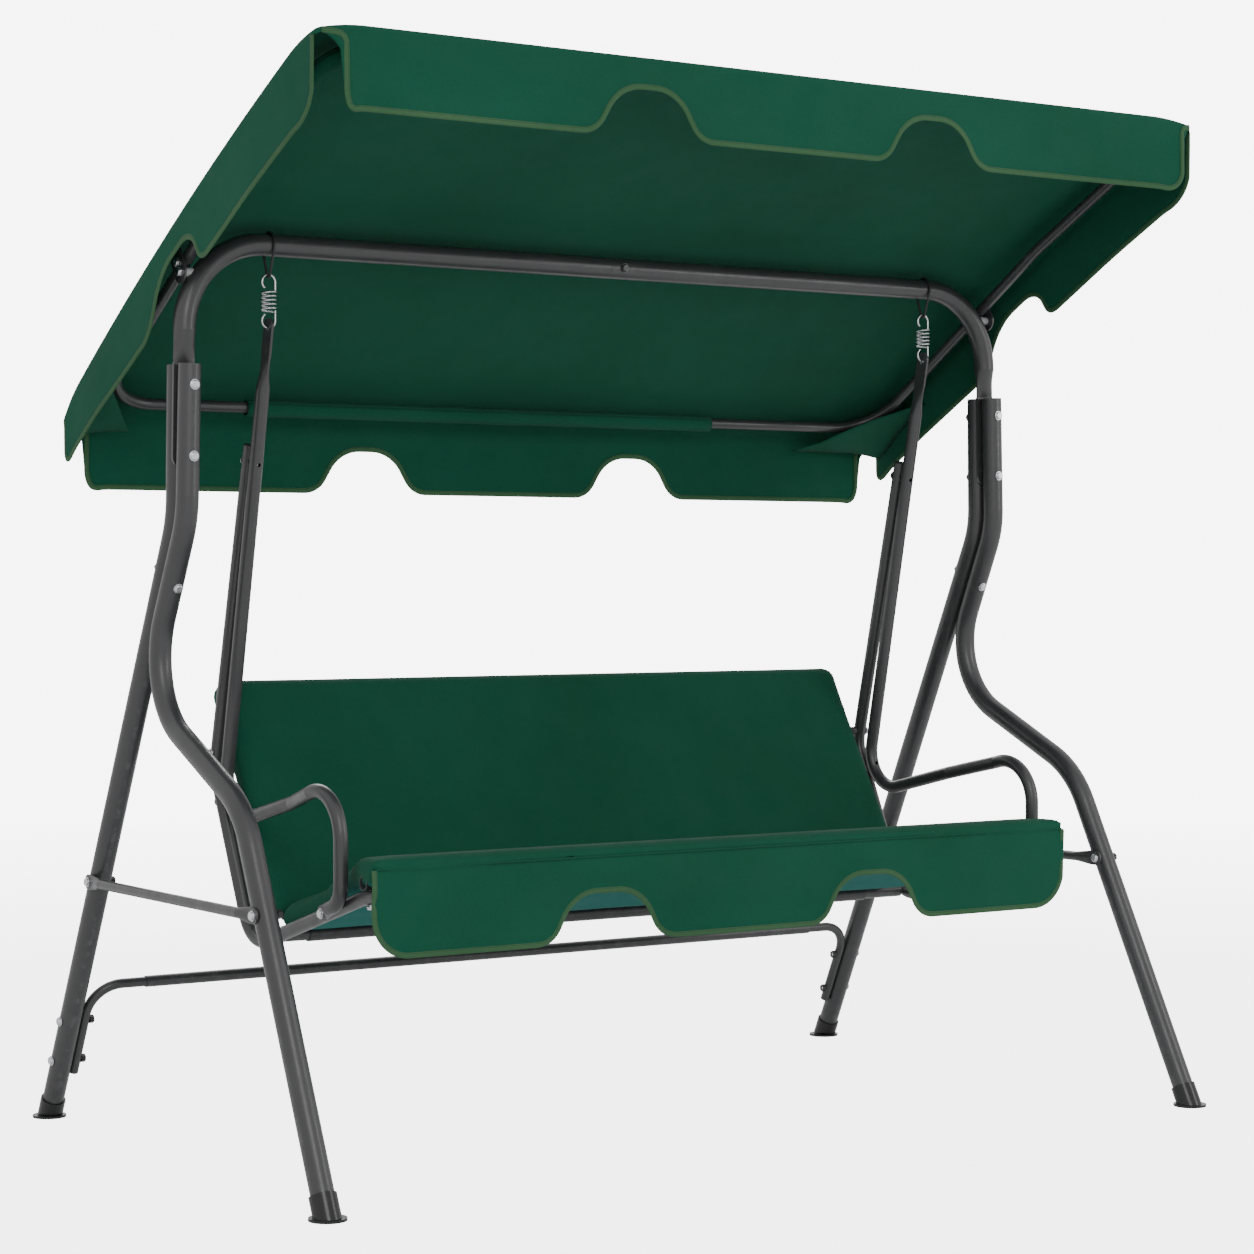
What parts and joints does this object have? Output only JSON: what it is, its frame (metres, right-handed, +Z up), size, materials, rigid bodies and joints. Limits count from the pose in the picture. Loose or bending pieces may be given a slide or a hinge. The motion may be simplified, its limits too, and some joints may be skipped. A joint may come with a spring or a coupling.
{
  "type": "garden canopy swing seat",
  "caption": "Garden swing seat: padded bench hung on coil springs from a bent-tube stand, under a tilting fabric canopy.",
  "frame": {"origin": "on the floor under the middle of the whole object", "axes": "+X to the sitter's left, -Y to the front where the sitter looks, +Z up"},
  "size_m": [1.701, 1.037, 1.6612],
  "materials": {
    "charcoal_frame": "charcoal powder coat, soft gloss",
    "black_tube": "black powder coat",
    "foot_plastic": "glossy black",
    "cap_plastic": "matt black",
    "lug_plastic": "light grey",
    "zinc_bolt": "zinc plated",
    "dark_nut": "black cover",
    "spring_chrome": "bright plated wire",
    "green_fabric": "dark green woven polyester"
  },
  "bodies": {
    "stand": {"top_beam_left": "charcoal_frame", "top_beam_right": "charcoal_frame", "beam_sleeve": "charcoal_frame", "beam_joint_bolt": "zinc_bolt", "front_leg_left": "charcoal_frame", "front_leg_right": "charcoal_frame", "rear_leg_left": "charcoal_frame", "rear_leg_right": "charcoal_frame", "front_foot_left": "foot_plastic", "front_foot_right": "foot_plastic", "rear_foot_left": "foot_plastic", "rear_foot_right": "foot_plastic", "side_brace_left": "charcoal_frame", "side_brace_right": "charcoal_frame", "crossbar_corner_left": "charcoal_frame", "crossbar_corner_right": "charcoal_frame", "crossbar_middle": "charcoal_frame", "leg_bolts": "zinc_bolt", "leg_nuts": "dark_nut", "brace_bolts": "zinc_bolt", "brace_nuts": "dark_nut", "crossbar_bolts": "zinc_bolt", "crossbar_nuts": "dark_nut", "canopy_lugs": "lug_plastic", "canopy_pivot_bolts": "zinc_bolt", "beam_loops": "spring_chrome"},
    "springs": {"spring_left": "spring_chrome", "spring_right": "spring_chrome"},
    "seat": {"arm_bolts": "zinc_bolt", "arm_nuts": "dark_nut", "back_bolts": "zinc_bolt", "back_spacers": "charcoal_frame", "backrest_cushion": "green_fabric", "backrest_frame": "charcoal_frame", "clamp_bolts": "zinc_bolt", "clamp_spacers": "charcoal_frame", "front_tube_bolts": "zinc_bolt", "hanger_left": "charcoal_frame", "hanger_right": "charcoal_frame", "seat_caps": "cap_plastic", "seat_cushion": "green_fabric", "seat_front_tube": "charcoal_frame", "seat_rear_tube": "black_tube", "seat_side_left": "charcoal_frame", "seat_side_right": "charcoal_frame", "seat_stubs": "charcoal_frame", "seat_valance": "green_fabric"},
    "canopy": {"canopy_top": "green_fabric", "canopy_valance_front": "green_fabric", "canopy_valance_rear": "green_fabric", "canopy_valance_left": "green_fabric", "canopy_valance_right": "green_fabric", "canopy_frame_front": "charcoal_frame", "canopy_frame_rear": "charcoal_frame", "canopy_pins": "charcoal_frame", "canopy_bracket_left": "charcoal_frame", "canopy_bracket_right": "charcoal_frame", "canopy_rail_screws": "zinc_bolt"}
  },
  "joints": [
    {"name": "seat_swing", "type": "hinge", "parent": "stand", "child": "springs", "pos_m": [0, 0.007, 1.356], "axis": [1, 0, 0], "range_deg": [-18, 18]},
    {"name": "spring_stretch", "type": "slide", "parent": "springs", "child": "seat", "axis": [0, 0, -1], "range_m": [0, 0.03], "stiffness_N_per_m": 50000, "springref_m": -0.012, "deforming": ["spring_left", "spring_right"]},
    {"name": "canopy_tilt", "type": "hinge", "parent": "stand", "child": "canopy", "pos_m": [0, 0.007, 1.352], "axis": [1, 0, 0], "range_deg": [-14, 46]}
  ]
}
